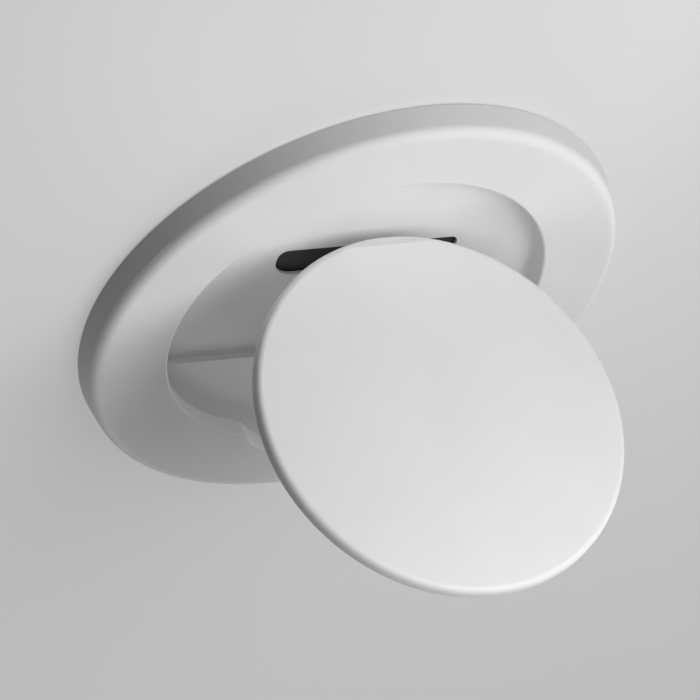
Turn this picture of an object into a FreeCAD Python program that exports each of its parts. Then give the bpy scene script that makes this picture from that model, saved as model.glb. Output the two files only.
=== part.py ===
import FreeCAD, Part
import math
import os

import Sketcher

# Magnetic phone holder: a round base that clings to the back of a phone by a ring of magnets, with a round
# stand disc that lifts out of the base on a strut and folds back flat into a recess.
# Millimetres. The origin is the centre of the magnet face, +Z runs out of the front, X is along the two hinge
# pins and +Y is towards the slot. Strut and disc are drawn folded, then turned to the open stance.

SIZES = (
    ("pad_thick", 0.3, "grip pad"),
    ("pad_gap", 0.15, "between the pad and the rim round it"),
    ("pad_chamfer", 0.1, "lower edge of the pad"),
    ("film_thick", 0.1, "adhesive film between pad and base"),
    ("film_width", 12.5, "width of the ring of film"),
    ("rim_lift", 0.12, "rim of the base above the magnet face"),
    ("rim_width", 0.75, "rim of the base round the pad"),
    ("floor_thick", 0.4, "floor of the pocket under the folded strut"),
    ("recess_wall", 1.3, "wall between the recess and the magnet channel"),
    ("channel_width", 5.8, "magnet channel, across"),
    ("side_wall", 1.2, "outer wall of the base at its front"),
    ("side_taper", 0.4, "how much wider the base is at its back"),
    ("roof_thick", 0.7, "ring face above the magnet channel"),
    ("edge_round", 1.2, "front outer edge of the base"),
    ("lip_round", 0.35, "edge of the recess and of the finger notch"),
    ("pocket_round", 0.6, "between the pocket's wall and its floor"),
    ("step_reach", 8.9, "step up to the seat, from the centre"),
    ("seat_rise", 0.7, "seat above the pocket's floor"),
    ("notch_radius", 7.0, "finger notch, seen from the front"),
    ("notch_depth", 2.3, "finger notch past the edge of the recess"),
    ("notch_blend", 1.2, "corner between finger notch and recess"),
    ("notch_wall", 0.6, "between the finger notch and the magnet channel"),
    ("disc_radius", 20.65, "stand disc"),
    ("disc_thick", 1.65, "stand disc"),
    ("disc_sink", 0.05, "face of the folded disc below the ring face"),
    ("disc_front_round", 0.7, "front edge of the disc"),
    ("disc_back_round", 0.5, "back edge of the disc"),
    ("bevel_width", 1.1, "bevel at the top of the disc, on its face"),
    ("bevel_depth", 0.55, "bevel at the top of the disc, down its edge"),
    ("nest_gap", 0.25, "round the folded disc"),
    ("seat_gap", 0.05, "between the ears of the base and the folded disc"),
    ("pin_radius", 0.3, "both hinge pins"),
    ("pin_chamfer", 0.08, "ends of the pins"),
    ("press_gap", 0.01, "pin in the ears and knuckles that hold it"),
    ("run_gap", 0.03, "pin in the strut that turns on it"),
    ("barrel_wall", 0.18, "strut round its pins"),
    ("barrel_gap", 0.07, "between the strut's barrels and what they turn next to"),
    ("strut_thick", 0.8, "strut between its barrels"),
    ("side_gap", 0.15, "strut between the ears and between the knuckles"),
    ("ear_inset", 5.6, "inner side of ears and knuckles, from the middle"),
    ("ear_width", 1.6, "ear of the base, along the pin"),
    ("ear_tip", 0.7, "ear of the base, from the pin to its free end"),
    ("knuckle_width", 4.0, "knuckle of the disc, along the pin"),
    ("disc_pin_reach", 10.56, "pin of the folded disc, from the centre"),
    ("slot_length", 21.0, "slot in the pocket's floor, along X"),
    ("slot_width", 4.05, "slot, along Y"),
    ("slot_reach", 7.95, "far side of the slot, from the centre"),
    ("slot_round", 1.0, "far corners of the slot"),
    ("slot_sweep", 2.6, "near corners of the slot"),
    ("cover_thick", 0.5, "rear cover of the magnet channel"),
    ("cover_gap", 0.05, "rear cover in the channel, all round"),
    ("shunt_thick", 0.4, "steel ring over the magnets"),
    ("glue_gap", 0.1, "glue between magnets and rear cover"),
    ("magnet_gap", 0.4, "magnets and steel ring in the channel, each side"),
    ("magnet_space", 0.4, "between neighbouring magnets"),
    ("magnet_count", 16, "arc magnets"),
    ("disc_open", 77.9, "degrees from the base to the open disc"),
    ("edge_lift", 1.45, "top edge of the open disc above the pocket's floor"),
)

# Heights above the magnet face
BACK_Z = "(dims.pad_thick + dims.film_thick)"
FLOOR_Z = f"({BACK_Z} + dims.floor_thick)"
BARREL_RADIUS = "(dims.pin_radius + dims.run_gap + dims.barrel_wall)"
AXIS_Z = f"({FLOOR_Z} + dims.barrel_gap + {BARREL_RADIUS})"
DISC_BACK_Z = f"({AXIS_Z} + {BARREL_RADIUS} + dims.barrel_gap)"
DISC_FRONT_Z = f"({DISC_BACK_Z} + dims.disc_thick)"
FACE_Z = f"({DISC_FRONT_Z} + dims.disc_sink)"
SEAT_Z = f"({FLOOR_Z} + dims.seat_rise)"
EAR_Z = f"({DISC_BACK_Z} - dims.seat_gap)"
COVER_Z = f"({BACK_Z} + dims.cover_thick)"
CHANNEL_Z = f"({FACE_Z} - dims.roof_thick)"
SHUNT_Z = f"({CHANNEL_Z} - dims.shunt_thick)"

# Radii about the middle of the base
RECESS_RADIUS = "(dims.disc_radius + dims.nest_gap)"
CHANNEL_IN = f"({RECESS_RADIUS} + dims.recess_wall)"
CHANNEL_OUT = f"({CHANNEL_IN} + dims.channel_width)"
FACE_RADIUS = f"({CHANNEL_OUT} + dims.side_wall)"
BASE_RADIUS = f"({FACE_RADIUS} + dims.side_taper)"
NOTCH_END = f"({RECESS_RADIUS} + dims.notch_depth)"
RIM_RADIUS = f"({BASE_RADIUS} - dims.rim_width)"
PAD_RADIUS = f"({RIM_RADIUS} - dims.pad_gap)"
MAGNET_IN = f"({CHANNEL_IN} + dims.magnet_gap)"
MAGNET_OUT = f"({CHANNEL_OUT} - dims.magnet_gap)"

# Angles of the open ring of magnets, which leaves room for the finger notch
CHANNEL_ANGLE = f"(360 - 2 * asin((dims.notch_radius + dims.notch_wall) / {CHANNEL_IN}) / 1deg)"
COVER_ANGLE = f"({CHANNEL_ANGLE} - 2 * asin(dims.cover_gap / {CHANNEL_IN}) / 1deg)"
SHUNT_ANGLE = f"({CHANNEL_ANGLE} - 2 * asin(dims.magnet_gap / {CHANNEL_IN}) / 1deg)"
MAGNET_PITCH = f"({SHUNT_ANGLE} / dims.magnet_count)"
MAGNET_ANGLE = f"({MAGNET_PITCH} - asin(dims.magnet_space / {CHANNEL_IN}) / 1deg)"

# The two hinges, with the disc folded
STRUT_PIN_Y = f"({BARREL_RADIUS} + dims.barrel_gap - dims.step_reach)"
DISC_PIN_Y = "dims.disc_pin_reach"
STRUT_LENGTH = f"({DISC_PIN_Y} - {STRUT_PIN_Y})"
EAR_OUT = "(dims.ear_inset + dims.ear_width)"
KNUCKLE_OUT = "(dims.ear_inset + dims.knuckle_width)"
STRUT_WIDTH = "(2 * (dims.ear_inset - dims.side_gap))"

# The open stance: the disc's top edge stands edge_lift above the pocket's floor, which sets the strut's angle
EDGE_DROP = (
    f"((dims.disc_radius - {DISC_PIN_Y}) * sin(dims.disc_open)"
    f" - ({DISC_BACK_Z} - {AXIS_Z}) * cos(dims.disc_open))"
)
STRUT_OPEN = f"(asin(({FLOOR_Z} + dims.edge_lift + {EDGE_DROP} - {AXIS_Z}) / {STRUT_LENGTH}) / 1deg)"
STRUT_PLACEMENT = (
    f"placement(vector(0; 0; 0); rotation(vector(1; 0; 0); {STRUT_OPEN});"
    f" vector(0; {STRUT_PIN_Y}; {AXIS_Z}))"
)
DISC_PLACEMENT = (
    f"placement(vector(0; {STRUT_LENGTH} * (cos({STRUT_OPEN}) - 1); {STRUT_LENGTH} * sin({STRUT_OPEN}));"
    f" rotation(vector(1; 0; 0); -dims.disc_open); vector(0; {DISC_PIN_Y}; {AXIS_Z}))"
)

# How far a cut or a fused block reaches past the face it starts from
OVERLAP = 0.3
# How close two lengths are to count as the same place
NEAR = 1e-4

document = FreeCAD.newDocument("phone_holder")
sheet = document.addObject("Spreadsheet::Sheet", "dims")
for row, (alias, value, meaning) in enumerate(SIZES, start=1):
    sheet.set(f"A{row}", alias)
    sheet.set(f"B{row}", str(value))
    sheet.setAlias(f"B{row}", alias)
    sheet.set(f"C{row}", meaning)
document.recompute()


def number(expression):
    """Value of an expression of the sheet's cells."""
    return float(sheet.evalExpression(str(expression)))


def new_body(label):
    body = document.addObject("PartDesign::Body", label)
    body.Label = label
    return body


def new_sketch(body, name, role, height="0"):
    """Sketch on one of the body's origin planes, moved along that plane's normal by height."""
    sketch = body.newObject("Sketcher::SketchObject", name)
    plane = next(item for item in body.Origin.OriginFeatures if item.Role == role)
    sketch.AttachmentSupport = [(plane, "")]
    sketch.MapMode = "FlatFace"
    sketch.setExpression("AttachmentOffset.Base.z", str(height))
    return sketch


def bind(sketch, kind, places, expression):
    """Constraint of one kind whose value follows the sheet."""
    index = sketch.addConstraint(Sketcher.Constraint(kind, *places, number(expression)))
    sketch.setExpression(f"Constraints[{index}]", str(expression))


def hold_point(sketch, geometry, end, across, up):
    """Fix one point of a sketch by its two coordinates."""
    if across == "0":
        sketch.addConstraint(Sketcher.Constraint("PointOnObject", geometry, end, -2))
    elif across:
        bind(sketch, "DistanceX", (-1, 1, geometry, end), across)
    if up:
        bind(sketch, "DistanceY", (-1, 1, geometry, end), up)


def draw_polygon(sketch, corners):
    """Closed outline of straight lines through corners, each a pair of expressions."""
    points = [FreeCAD.Vector(number(across), number(up), 0) for across, up in corners]
    lines = []
    for index, point in enumerate(points):
        following = points[(index + 1) % len(points)]
        lines.append(sketch.addGeometry(Part.LineSegment(point, following)))
    for index, line in enumerate(lines):
        following = lines[(index + 1) % len(lines)]
        sketch.addConstraint(Sketcher.Constraint("Coincident", line, 2, following, 1))
    for line, (across, up) in zip(lines, corners):
        hold_point(sketch, line, 1, across, up)


def draw_circle(sketch, across, up, radius):
    centre = FreeCAD.Vector(number(across), number(up), 0)
    circle = sketch.addGeometry(Part.Circle(centre, FreeCAD.Vector(0, 0, 1), number(radius)))
    hold_point(sketch, circle, 3, across, up)
    bind(sketch, "Radius", (circle,), radius)


def draw_arc(sketch, radius, centre, ends):
    """Counterclockwise arc, given its two ends for a start; returns it with its centre and radius fixed."""
    middle = FreeCAD.Vector(number(centre[0]), number(centre[1]), 0)
    spokes = [FreeCAD.Vector(*end, 0) - middle for end in ends]
    first, last = (math.atan2(spoke.y, spoke.x) for spoke in spokes)
    circle = Part.Circle(middle, FreeCAD.Vector(0, 0, 1), number(radius))
    arc = sketch.addGeometry(Part.ArcOfCircle(circle, first, last))
    hold_point(sketch, arc, 3, *centre)
    bind(sketch, "Radius", (arc,), radius)
    return arc


def extrude(body, kind, name, sketch, length, symmetric=False):
    """Pad along the sketch's normal or Pocket against it; a Pocket has to take something away."""
    before = body.Shape.Volume if body.Tip else 0
    feature = body.newObject(f"PartDesign::{kind}", name)
    feature.Profile = sketch
    feature.SideType = "Symmetric" if symmetric else "One side"
    feature.setExpression("Length", str(length))
    document.recompute()
    if kind == "Pocket" and body.Shape.Volume > before - NEAR:
        raise RuntimeError(f"{name} cuts nothing")
    return feature


def turn(body, kind, name, sketch, angle="360"):
    """Revolution or Groove about Z, centred on the sketch's own plane."""
    before = body.Shape.Volume if body.Tip else 0
    feature = body.newObject(f"PartDesign::{kind}", name)
    feature.Profile = sketch
    feature.ReferenceAxis = (sketch, ["V_Axis"])
    feature.Midplane = True
    feature.setExpression("Angle", str(angle))
    document.recompute()
    if kind == "Groove" and body.Shape.Volume > before - NEAR:
        raise RuntimeError(f"{name} cuts nothing")
    return feature


def round_edges(body, kind, name, size, wanted):
    """Fillet or Chamfer on the edges of the body that the test picks."""
    base = body.Tip
    names = [f"Edge{index}" for index, edge in enumerate(base.Shape.Edges, start=1) if wanted(edge)]
    if not names:
        raise RuntimeError(f"{name} finds no edge")
    feature = body.newObject(f"PartDesign::{kind}", name)
    feature.Base = (base, names)
    feature.setExpression("Radius" if kind == "Fillet" else "Size", str(size))
    document.recompute()
    return feature


def level_at(edge, height):
    """Whether an edge lies in the plane at that height."""
    box = edge.BoundBox
    return abs(box.ZMin - height) < NEAR and abs(box.ZMax - height) < NEAR


def reach_of(edge):
    """Greatest distance from the Z axis along an edge."""
    points = edge.discretize(7)
    return max((point.x**2 + point.y**2) ** 0.5 for point in points)


def is_upright(edge):
    return edge.BoundBox.ZLength > NEAR and edge.BoundBox.XLength < NEAR and edge.BoundBox.YLength < NEAR


def ring_sector(label, inner, outer, low, high, angle):
    """Flat ring, open towards the finger notch."""
    body = new_body(label)
    sketch = new_sketch(body, f"{label}_section", "YZ_Plane")
    draw_polygon(sketch, ((inner, low), (outer, low), (outer, high), (inner, high)))
    turn(body, "Revolution", f"{label}_ring", sketch, angle)
    return body


def make_front_housing():
    body = new_body("front_housing")
    face_z = number(FACE_Z)

    section = new_sketch(body, "housing_section", "XZ_Plane")
    draw_polygon(
        section,
        (
            ("0", BACK_Z),
            (RIM_RADIUS, BACK_Z),
            (RIM_RADIUS, "dims.rim_lift"),
            (BASE_RADIUS, "dims.rim_lift"),
            (FACE_RADIUS, FACE_Z),
            (RECESS_RADIUS, FACE_Z),
            (RECESS_RADIUS, FLOOR_Z),
            ("0", FLOOR_Z),
        ),
    )
    turn(body, "Revolution", "housing_turned", section)

    recess_reach = number(RECESS_RADIUS)
    round_edges(
        body, "Fillet", "front_edge", "dims.edge_round",
        lambda edge: level_at(edge, face_z) and reach_of(edge) > recess_reach + NEAR,
    )
    round_edges(
        body, "Fillet", "pocket_edge", "min(dims.pocket_round; 0.9 * dims.seat_rise)",
        lambda edge: level_at(edge, number(FLOOR_Z)),
    )

    # Seat at the foot of the recess, a step above the pocket
    seat_radius = f"({RECESS_RADIUS} + dims.recess_wall / 2)"
    step_y = -number("dims.step_reach")
    half_chord = (number(seat_radius) ** 2 - step_y**2) ** 0.5
    ends = ((-half_chord, step_y), (half_chord, step_y))
    seat = new_sketch(body, "seat_outline", "XY_Plane", BACK_Z)
    chord = seat.addGeometry(Part.LineSegment(*(FreeCAD.Vector(*point, 0) for point in ends)))
    arc = draw_arc(seat, seat_radius, ("0", "0"), ends)
    seat.addConstraint(Sketcher.Constraint("Coincident", arc, 1, chord, 1))
    seat.addConstraint(Sketcher.Constraint("Coincident", arc, 2, chord, 2))
    seat.addConstraint(Sketcher.Constraint("Horizontal", chord))
    hold_point(seat, chord, 1, None, "-dims.step_reach")
    extrude(body, "Pad", "seat", seat, f"{SEAT_Z} - {BACK_Z}")

    # Two ears in front of the step that hold the strut's pin and carry the folded disc
    ears = new_sketch(body, "ear_outlines", "XY_Plane", BACK_Z)
    root_y = f"(-dims.step_reach - {OVERLAP})"
    tip_y = f"({STRUT_PIN_Y} + dims.ear_tip)"
    for side in ("-", ""):
        inner = f"{side}dims.ear_inset"
        outer = f"{side}{EAR_OUT}"
        draw_polygon(ears, ((inner, root_y), (outer, root_y), (outer, tip_y), (inner, tip_y)))
    extrude(body, "Pad", "ears", ears, f"{EAR_Z} - {BACK_Z}")

    # Finger notch at the foot of the recess
    notch = new_sketch(body, "notch_outline", "XY_Plane", FACE_Z)
    draw_circle(notch, "0", f"(dims.notch_radius - {NOTCH_END})", "dims.notch_radius")
    extrude(body, "Pocket", "finger_notch", notch, f"{FACE_Z} - {SEAT_Z}")
    round_edges(
        body, "Fillet", "notch_corners", "dims.notch_blend",
        lambda edge: is_upright(edge)
        and edge.BoundBox.ZMax > face_z - NEAR
        and abs(reach_of(edge) - recess_reach) < NEAR,
    )
    notch_end = number(NOTCH_END)
    round_edges(
        body, "Fillet", "recess_lip", "dims.lip_round",
        lambda edge: level_at(edge, face_z) and reach_of(edge) < notch_end + NEAR,
    )

    channel = new_sketch(body, "channel_section", "YZ_Plane")
    draw_polygon(
        channel,
        ((CHANNEL_IN, BACK_Z), (CHANNEL_OUT, BACK_Z), (CHANNEL_OUT, CHANNEL_Z), (CHANNEL_IN, CHANNEL_Z)),
    )
    turn(body, "Groove", "magnet_channel", channel, CHANNEL_ANGLE)

    # Slot through the pocket's floor, with wider corners on the side of the step
    slot_half = "(dims.slot_length / 2)"
    slot_near = "(dims.slot_reach - dims.slot_width)"
    slot = new_sketch(body, "slot_outline", "XY_Plane", FLOOR_Z)
    draw_polygon(
        slot,
        (
            (f"-{slot_half}", slot_near),
            (slot_half, slot_near),
            (slot_half, "dims.slot_reach"),
            (f"-{slot_half}", "dims.slot_reach"),
        ),
    )
    extrude(body, "Pocket", "floor_slot", slot, f"dims.floor_thick + {OVERLAP}")
    for name, size, side_y in (
        ("far_corners", "min(dims.slot_round; 0.3 * dims.slot_width)", number("dims.slot_reach")),
        ("near_corners", "min(dims.slot_sweep; 0.65 * dims.slot_width)", number(slot_near)),
    ):
        round_edges(
            body, "Fillet", name, size,
            lambda edge: is_upright(edge)
            and edge.BoundBox.ZMax < number(FLOOR_Z) + NEAR
            and abs(edge.BoundBox.YMin - side_y) < NEAR,
        )

    bore = new_sketch(body, "ear_bore_outline", "YZ_Plane")
    draw_circle(bore, STRUT_PIN_Y, AXIS_Z, "(dims.pin_radius + dims.press_gap)")
    extrude(body, "Pocket", "ear_bores", bore, f"2 * {EAR_OUT}", symmetric=True)
    return body


def make_grip_pad():
    body = new_body("grip_pad")
    outline = new_sketch(body, "pad_outline", "XY_Plane")
    draw_circle(outline, "0", "0", PAD_RADIUS)
    extrude(body, "Pad", "pad", outline, "dims.pad_thick")
    round_edges(body, "Chamfer", "pad_edge", "dims.pad_chamfer", lambda edge: level_at(edge, 0))
    return body


def make_pad_adhesive():
    body = new_body("pad_adhesive")
    outline = new_sketch(body, "film_outline", "XY_Plane", "dims.pad_thick")
    draw_circle(outline, "0", "0", PAD_RADIUS)
    draw_circle(outline, "0", "0", f"({PAD_RADIUS} - dims.film_width)")
    extrude(body, "Pad", "film", outline, "dims.film_thick")
    return body


def make_magnets():
    count = round(number("dims.magnet_count"))
    low = f"({COVER_Z} + dims.glue_gap)"
    magnets = []
    for index in range(count):
        body = ring_sector(f"magnet_{index + 1:02d}", MAGNET_IN, MAGNET_OUT, low, SHUNT_Z, MAGNET_ANGLE)
        place = index - (count - 1) / 2
        body.setExpression(
            "Placement", f"placement(vector(0; 0; 0); rotation(vector(0; 0; 1); {place} * {MAGNET_PITCH}))"
        )
        magnets.append(body)
    return magnets


def make_strut():
    body = new_body("strut")
    low = f"({AXIS_Z} - dims.strut_thick / 2)"
    high = f"({AXIS_Z} + dims.strut_thick / 2)"
    plate = new_sketch(body, "plate_outline", "YZ_Plane")
    draw_polygon(plate, ((STRUT_PIN_Y, low), (DISC_PIN_Y, low), (DISC_PIN_Y, high), (STRUT_PIN_Y, high)))
    extrude(body, "Pad", "plate", plate, STRUT_WIDTH, symmetric=True)
    for kind, name, radius in (
        ("Pad", "barrel", BARREL_RADIUS),
        ("Pocket", "bore", "(dims.pin_radius + dims.run_gap)"),
    ):
        for end, pin_y in (("base", STRUT_PIN_Y), ("disc", DISC_PIN_Y)):
            outline = new_sketch(body, f"{end}_{name}_outline", "YZ_Plane")
            draw_circle(outline, pin_y, AXIS_Z, radius)
            extrude(body, kind, f"{end}_{name}", outline, STRUT_WIDTH, symmetric=True)
    body.setExpression("Placement", STRUT_PLACEMENT)
    return body


def make_stand_disc():
    body = new_body("stand_disc")
    front_z = number(DISC_FRONT_Z)
    back_z = number(DISC_BACK_Z)

    section = new_sketch(body, "disc_section", "XZ_Plane")
    draw_polygon(
        section,
        (
            ("0", DISC_BACK_Z),
            ("dims.disc_radius", DISC_BACK_Z),
            ("dims.disc_radius", DISC_FRONT_Z),
            ("0", DISC_FRONT_Z),
        ),
    )
    turn(body, "Revolution", "disc_turned", section)
    round_edges(
        body, "Fillet", "disc_front_edge", "min(dims.disc_front_round; 0.45 * dims.disc_thick)",
        lambda edge: level_at(edge, front_z),
    )
    round_edges(
        body, "Fillet", "disc_back_edge", "min(dims.disc_back_round; 0.45 * dims.disc_thick)",
        lambda edge: level_at(edge, back_z),
    )

    # One round-backed bar across the back, opened in the middle to leave two knuckles beside the strut
    bar = new_sketch(body, "knuckle_outline", "YZ_Plane")
    low_y = f"({DISC_PIN_Y} - {BARREL_RADIUS})"
    high_y = f"({DISC_PIN_Y} + {BARREL_RADIUS})"
    root_z = f"({DISC_BACK_Z} + {OVERLAP})"
    corners = [(high_y, AXIS_Z), (high_y, root_z), (low_y, root_z), (low_y, AXIS_Z)]
    points = [FreeCAD.Vector(number(across), number(up), 0) for across, up in corners]
    lines = [bar.addGeometry(Part.LineSegment(*ends)) for ends in zip(points, points[1:])]
    for line, following in zip(lines, lines[1:]):
        bar.addConstraint(Sketcher.Constraint("Coincident", line, 2, following, 1))
    for line, (across, up) in zip(lines[1:], corners[1:]):
        hold_point(bar, line, 1, across, up)
    arc = draw_arc(
        bar, BARREL_RADIUS, (DISC_PIN_Y, AXIS_Z),
        ((points[-1].x, points[-1].y), (points[0].x, points[0].y)),
    )
    bar.addConstraint(Sketcher.Constraint("Coincident", arc, 1, lines[-1], 2))
    bar.addConstraint(Sketcher.Constraint("Coincident", arc, 2, lines[0], 1))
    bind(bar, "DistanceY", (-1, 1, lines[0], 1), AXIS_Z)
    bind(bar, "DistanceY", (-1, 1, lines[-1], 2), AXIS_Z)
    extrude(body, "Pad", "knuckle_bar", bar, f"2 * {KNUCKLE_OUT}", symmetric=True)

    opening = new_sketch(body, "knuckle_opening_outline", "YZ_Plane")
    clear = f"({BARREL_RADIUS} + {OVERLAP})"
    relief_z = f"({DISC_BACK_Z} + dims.barrel_gap)"
    draw_polygon(
        opening,
        (
            (f"({DISC_PIN_Y} - {clear})", f"({AXIS_Z} - {clear})"),
            (f"({DISC_PIN_Y} + {clear})", f"({AXIS_Z} - {clear})"),
            (f"({DISC_PIN_Y} + {clear})", relief_z),
            (f"({DISC_PIN_Y} - {clear})", relief_z),
        ),
    )
    extrude(body, "Pocket", "knuckle_opening", opening, "2 * dims.ear_inset", symmetric=True)

    bore = new_sketch(body, "knuckle_bore_outline", "YZ_Plane")
    draw_circle(bore, DISC_PIN_Y, AXIS_Z, "(dims.pin_radius + dims.press_gap)")
    extrude(body, "Pocket", "knuckle_bores", bore, f"2 * {KNUCKLE_OUT}", symmetric=True)

    # Bevel at the top edge
    bevel = new_sketch(body, "bevel_outline", "YZ_Plane")
    past_y = "(dims.disc_radius + dims.bevel_width)"
    draw_polygon(
        bevel,
        (
            ("(dims.disc_radius - dims.bevel_width)", DISC_FRONT_Z),
            (past_y, f"({DISC_FRONT_Z} - 2 * dims.bevel_depth)"),
            (past_y, DISC_FRONT_Z),
        ),
    )
    extrude(body, "Pocket", "top_bevel", bevel, "2 * dims.disc_radius", symmetric=True)
    body.setExpression("Placement", DISC_PLACEMENT)
    return body


def make_pin(label, pin_y, half_length, placement=None):
    body = new_body(label)
    outline = new_sketch(body, f"{label}_outline", "YZ_Plane")
    draw_circle(outline, pin_y, AXIS_Z, "dims.pin_radius")
    extrude(body, "Pad", f"{label}_rod", outline, f"2 * {half_length}", symmetric=True)
    round_edges(
        body, "Chamfer", f"{label}_ends", "dims.pin_chamfer",
        lambda edge: edge.BoundBox.XLength < NEAR,
    )
    if placement:
        body.setExpression("Placement", placement)
    return body


parts = [
    make_front_housing(),
    ring_sector(
        "rear_cover", f"({CHANNEL_IN} + dims.cover_gap)", f"({CHANNEL_OUT} - dims.cover_gap)",
        BACK_Z, COVER_Z, COVER_ANGLE,
    ),
    make_grip_pad(),
    make_pad_adhesive(),
    ring_sector("shunt_ring", MAGNET_IN, MAGNET_OUT, SHUNT_Z, CHANNEL_Z, SHUNT_ANGLE),
    *make_magnets(),
    make_strut(),
    make_pin("strut_pin", STRUT_PIN_Y, EAR_OUT),
    make_stand_disc(),
    make_pin("disc_pin", DISC_PIN_Y, KNUCKLE_OUT, DISC_PLACEMENT),
]
document.recompute()

for item in document.Objects:
    if "Invalid" in item.State or "Error" in item.State:
        raise RuntimeError(f"{item.Name} failed: {item.State}")
for part in parts:
    if part.Shape.isNull() or not part.Shape.isValid() or len(part.Shape.Solids) != 1:
        raise RuntimeError(f"{part.Label} is not one valid solid")

os.makedirs("parts", exist_ok=True)
for part in parts:
    part.Shape.exportStep(f"parts/{part.Label}.step")

print(f"{len(parts)} pieces")
print(f"base radius {number(BASE_RADIUS):.3f}, ring face {number(FACE_Z):.3f}")
print(f"strut pin y {number(STRUT_PIN_Y):.3f}, z {number(AXIS_Z):.3f}, strut length {number(STRUT_LENGTH):.3f}")
print(f"strut open {number(STRUT_OPEN):.4f} degrees, disc open {number('dims.disc_open'):.4f} degrees")
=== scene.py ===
"""Looks of the magnetic phone holder: the finish of every piece, a pale studio and the camera."""

import math

import bpy
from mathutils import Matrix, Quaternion, Vector

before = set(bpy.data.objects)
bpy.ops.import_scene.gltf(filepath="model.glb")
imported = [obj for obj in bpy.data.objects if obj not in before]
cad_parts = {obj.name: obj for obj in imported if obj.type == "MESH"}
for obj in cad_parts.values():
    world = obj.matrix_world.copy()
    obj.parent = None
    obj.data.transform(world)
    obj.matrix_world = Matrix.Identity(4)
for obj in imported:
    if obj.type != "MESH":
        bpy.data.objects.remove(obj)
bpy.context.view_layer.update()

# Camera, as the holder is seen in the photograph: a long lens, rolled so that the disc hangs down
AIM = Vector((-0.0040, 0.0022, 0.0100))
AIM_DISTANCE = 1.373
VIEW_AZIMUTH = math.radians(122.6)
VIEW_ELEVATION = math.radians(32.0)
VIEW_ROLL = math.radians(156.0)
LENS_MM = 680.0
CLIP_END = 10.0

# Floor and sky: paler for the camera and for reflections than for bounced light
FLOOR_REACH = 3.0
FLOOR_DROP = 0.00005
FLOOR_SEEN = (0.42, 0.42, 0.425, 1.0)
FLOOR_GLOW = (0.32, 0.32, 0.325, 1.0)
FLOOR_BOUNCE = (0.12, 0.12, 0.125, 1.0)
FLOOR_ROUGHNESS = 0.9
FLOOR_SPECULAR = 0.1
SKY_SEEN = (0.62, 0.62, 0.63, 1.0)
SKY_LIGHT = (0.02, 0.02, 0.02, 1.0)
BLACK = (0.0, 0.0, 0.0, 1.0)

# Square soft lights: name, direction to the light, distance and width in metres, power in watts
# The key hangs close by, so that the raised end of the disc is the brightest place
LIGHTS = (
    ("key", (0.222, 0.628, 0.746), 0.108, 0.08, 0.068),
    ("front", (0.31, 0.76, 0.57), 0.70, 0.50, 1.00),
    ("low_right", (0.80, 0.54, 0.26), 0.70, 0.50, 0.98),
    ("side", (0.93, -0.33, 0.16), 0.70, 0.30, 0.90),
    ("left", (-0.57, 0.0, 0.82), 0.70, 0.50, 0.36),
    ("rear", (0.1, -0.90, 0.42), 0.70, 0.30, 0.85),
    ("back", (-0.68, -0.68, 0.26), 0.70, 0.50, 0.38),
)

# Pieces that wear the finish of each material slot in the record
MAGNET_COUNT = 16
FINISHED_NODES = {
    "white_plastic": ("front_housing", "rear_cover", "strut", "stand_disc"),
    "black_rubber": ("grip_pad",),
    "adhesive_film": ("pad_adhesive",),
    "steel": ("shunt_ring", "strut_pin", "disc_pin"),
    "magnet": tuple(f"magnet_{number + 1:02d}" for number in range(MAGNET_COUNT)),
}

# Finish of each slot: dark and light tone, range of roughness, cells and grain depth in metres
FINISHES = {
    "white_plastic": dict(
        tones=((0.795, 0.797, 0.800), (0.830, 0.832, 0.832)),
        tone_cell=0.012,
        gloss=(0.52, 0.62),
        gloss_cell=0.0015,
        grain_cell=0.00022,
        grain_depth=0.000004,
        IOR=1.52,
    ),
    "black_rubber": dict(
        tones=((0.007, 0.007, 0.0075), (0.013, 0.013, 0.0135)),
        tone_cell=0.006,
        gloss=(0.62, 0.76),
        gloss_cell=0.001,
        grain_cell=0.00025,
        grain_depth=0.00001,
        IOR=1.43,
    ),
    "adhesive_film": dict(
        tones=((0.60, 0.59, 0.55), (0.68, 0.67, 0.63)),
        tone_cell=0.004,
        gloss=(0.30, 0.45),
        gloss_cell=0.0008,
        grain_cell=0.0004,
        grain_depth=0.000004,
    ),
    "steel": dict(
        tones=((0.50, 0.51, 0.52), (0.58, 0.58, 0.59)),
        tone_cell=0.003,
        gloss=(0.24, 0.38),
        gloss_cell=0.0006,
        grain_cell=0.0002,
        grain_depth=0.000002,
        stretch=(0.15, 1.0, 1.0),
        Metallic=1.0,
    ),
    "magnet": dict(
        tones=((0.58, 0.56, 0.53), (0.66, 0.64, 0.61)),
        tone_cell=0.003,
        gloss=(0.16, 0.28),
        gloss_cell=0.0008,
        grain_cell=0.0003,
        grain_depth=0.000002,
        Metallic=1.0,
    ),
}

# Noise: where most of its values lie, and the octaves added for tone, gloss and grain
NOISE_LOW = 0.3
NOISE_HIGH = 0.7
TONE_DETAIL = 3.0
GLOSS_DETAIL = 4.0
GRAIN_DETAIL = 2.0

# Colour sockets of the Mix node, which shares their names with its other sockets
MIX_FIRST = 6
MIX_SECOND = 7
MIX_RESULT = 2


def set_sockets(node, values):
    """Sets a node's named input sockets."""
    for name, value in values.items():
        node.inputs[name].default_value = value


def noise(tree, place, cell, detail):
    """Noise in the piece's own coordinates, with cells of that size."""
    node = tree.nodes.new("ShaderNodeTexNoise")
    set_sockets(node, {"Scale": 1 / cell, "Detail": detail})
    tree.links.new(place, node.inputs["Vector"])
    return node.outputs["Fac"]


def spread(tree, value, low, high):
    """Spreads a noise value over the range from low to high."""
    node = tree.nodes.new("ShaderNodeMapRange")
    set_sockets(node, {
        "From Min": NOISE_LOW,
        "From Max": NOISE_HIGH,
        "To Min": low,
        "To Max": high,
    })
    tree.links.new(value, node.inputs["Value"])
    return node.outputs["Result"]


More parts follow.
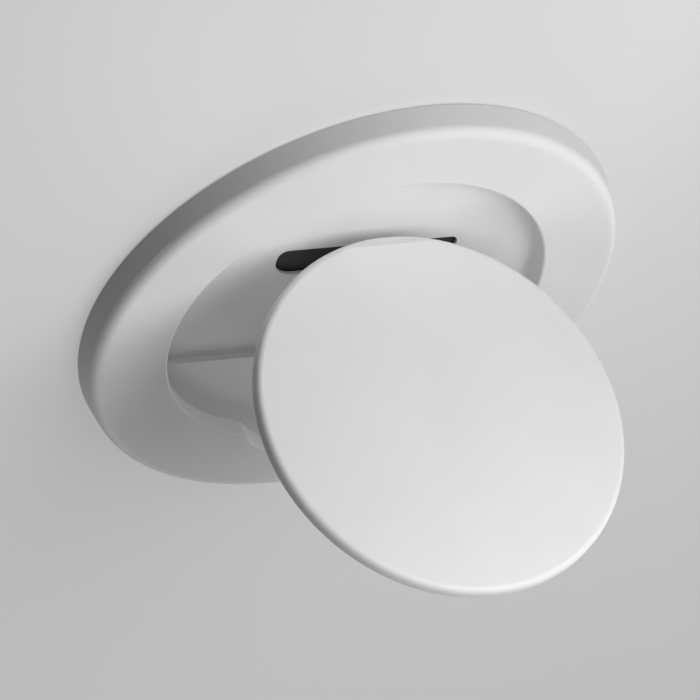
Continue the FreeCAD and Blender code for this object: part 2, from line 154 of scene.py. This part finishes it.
def two_tones(tree, value, dark, light):
    """A colour that runs from dark to light with a noise value."""
    ramp = tree.nodes.new("ShaderNodeValToRGB")
    ends = zip(ramp.color_ramp.elements, (NOISE_LOW, NOISE_HIGH), (dark, light))
    for element, position, tone in ends:
        element.position = position
        element.color = (*tone, 1.0)
    tree.links.new(value, ramp.inputs["Fac"])
    return ramp.outputs["Color"]


def make_finish(
    name, tones, tone_cell, gloss, gloss_cell, grain_cell, grain_depth,
    stretch=(1.0, 1.0, 1.0), **sockets,
):
    """A finish of soft tones, uneven gloss and a fine grain."""
    material = bpy.data.materials.new(name)
    material.use_nodes = True
    tree = material.node_tree
    principled = tree.nodes["Principled BSDF"]
    set_sockets(principled, sockets)
    mapping = tree.nodes.new("ShaderNodeMapping")
    set_sockets(mapping, {"Scale": stretch})
    coordinates = tree.nodes.new("ShaderNodeTexCoord")
    tree.links.new(coordinates.outputs["Object"], mapping.inputs["Vector"])
    place = mapping.outputs["Vector"]
    tone = two_tones(tree, noise(tree, place, tone_cell, TONE_DETAIL), *tones)
    tree.links.new(tone, principled.inputs["Base Color"])
    roughness = spread(tree, noise(tree, place, gloss_cell, GLOSS_DETAIL), *gloss)
    tree.links.new(roughness, principled.inputs["Roughness"])
    bump = tree.nodes.new("ShaderNodeBump")
    set_sockets(bump, {"Strength": 1.0, "Distance": grain_depth})
    tree.links.new(noise(tree, place, grain_cell, GRAIN_DETAIL), bump.inputs["Height"])
    tree.links.new(bump.outputs["Normal"], principled.inputs["Normal"])
    return material


def dress_nodes():
    """Gives every CAD node the finish of its slot."""
    for slot, names in FINISHED_NODES.items():
        material = make_finish(slot, **FINISHES[slot])
        for name in names:
            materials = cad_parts[name].data.materials
            materials.clear()
            materials.append(material)


def seen_or_bounced(tree, seen, bounced):
    """The first colour for what the camera and reflections see, the second for bounced light."""
    path = tree.nodes.new("ShaderNodeLightPath")
    direct = path.outputs["Is Camera Ray"]
    for ray in ("Is Glossy Ray", "Is Transmission Ray"):
        either = tree.nodes.new("ShaderNodeMath")
        either.operation = "MAXIMUM"
        tree.links.new(direct, either.inputs[0])
        tree.links.new(path.outputs[ray], either.inputs[1])
        direct = either.outputs[0]
    mix = tree.nodes.new("ShaderNodeMix")
    mix.data_type = "RGBA"
    tree.links.new(direct, mix.inputs["Factor"])
    mix.inputs[MIX_FIRST].default_value = bounced
    mix.inputs[MIX_SECOND].default_value = seen
    return mix.outputs[MIX_RESULT]


def floor_material():
    """A matt floor that takes shadows, with a faint even glow that lights nothing."""
    material = bpy.data.materials.new("floor")
    material.use_nodes = True
    tree = material.node_tree
    principled = tree.nodes["Principled BSDF"]
    set_sockets(principled, {
        "Roughness": FLOOR_ROUGHNESS,
        "Specular IOR Level": FLOOR_SPECULAR,
        "Emission Strength": 1.0,
    })
    colour = seen_or_bounced(tree, FLOOR_SEEN, FLOOR_BOUNCE)
    tree.links.new(colour, principled.inputs["Base Color"])
    glow = seen_or_bounced(tree, FLOOR_GLOW, BLACK)
    tree.links.new(glow, principled.inputs["Emission Color"])
    return material


def make_floor():
    """A wide pale floor just under the part."""
    mesh = bpy.data.meshes.new("floor")
    signs = ((-1, -1), (1, -1), (1, 1), (-1, 1))
    corners = [(x * FLOOR_REACH, y * FLOOR_REACH, -FLOOR_DROP) for x, y in signs]
    mesh.from_pydata(corners, [], [(0, 1, 2, 3)])
    mesh.materials.append(floor_material())
    floor = bpy.data.objects.new("floor", mesh)
    bpy.context.scene.collection.objects.link(floor)


def make_world():
    """Weak even light from all round, with a pale backdrop where the sky is seen."""
    world = bpy.data.worlds.new("studio")
    world.use_nodes = True
    tree = world.node_tree
    colour = seen_or_bounced(tree, SKY_SEEN, SKY_LIGHT)
    tree.links.new(colour, tree.nodes["Background"].inputs["Color"])
    bpy.context.scene.world = world


def make_light(name, direction, distance, width, power):
    """A square soft light that points at the part."""
    lamp = bpy.data.lights.new(name, "AREA")
    lamp.size = width
    lamp.energy = power
    light = bpy.data.objects.new(name, lamp)
    towards = Vector(direction).normalized()
    light.location = AIM + towards * distance
    light.rotation_mode = "QUATERNION"
    light.rotation_quaternion = (-towards).to_track_quat("-Z", "Y")
    bpy.context.scene.collection.objects.link(light)


def make_camera():
    """The camera at the photograph's viewing angle and roll."""
    camera = bpy.data.objects.new("camera", bpy.data.cameras.new("camera"))
    camera.data.lens = LENS_MM
    camera.data.clip_end = CLIP_END
    level = math.cos(VIEW_ELEVATION)
    back = Vector((
        math.cos(VIEW_AZIMUTH) * level,
        math.sin(VIEW_AZIMUTH) * level,
        math.sin(VIEW_ELEVATION),
    ))
    camera.location = AIM + back * AIM_DISTANCE
    camera.rotation_mode = "QUATERNION"
    upright = (-back).to_track_quat("-Z", "Y")
    camera.rotation_quaternion = upright @ Quaternion((0.0, 0.0, 1.0), VIEW_ROLL)
    bpy.context.scene.collection.objects.link(camera)
    bpy.context.scene.camera = camera


dress_nodes()
make_floor()
make_world()
for light in LIGHTS:
    make_light(*light)
make_camera()
bpy.context.scene.view_settings.view_transform = "Standard"
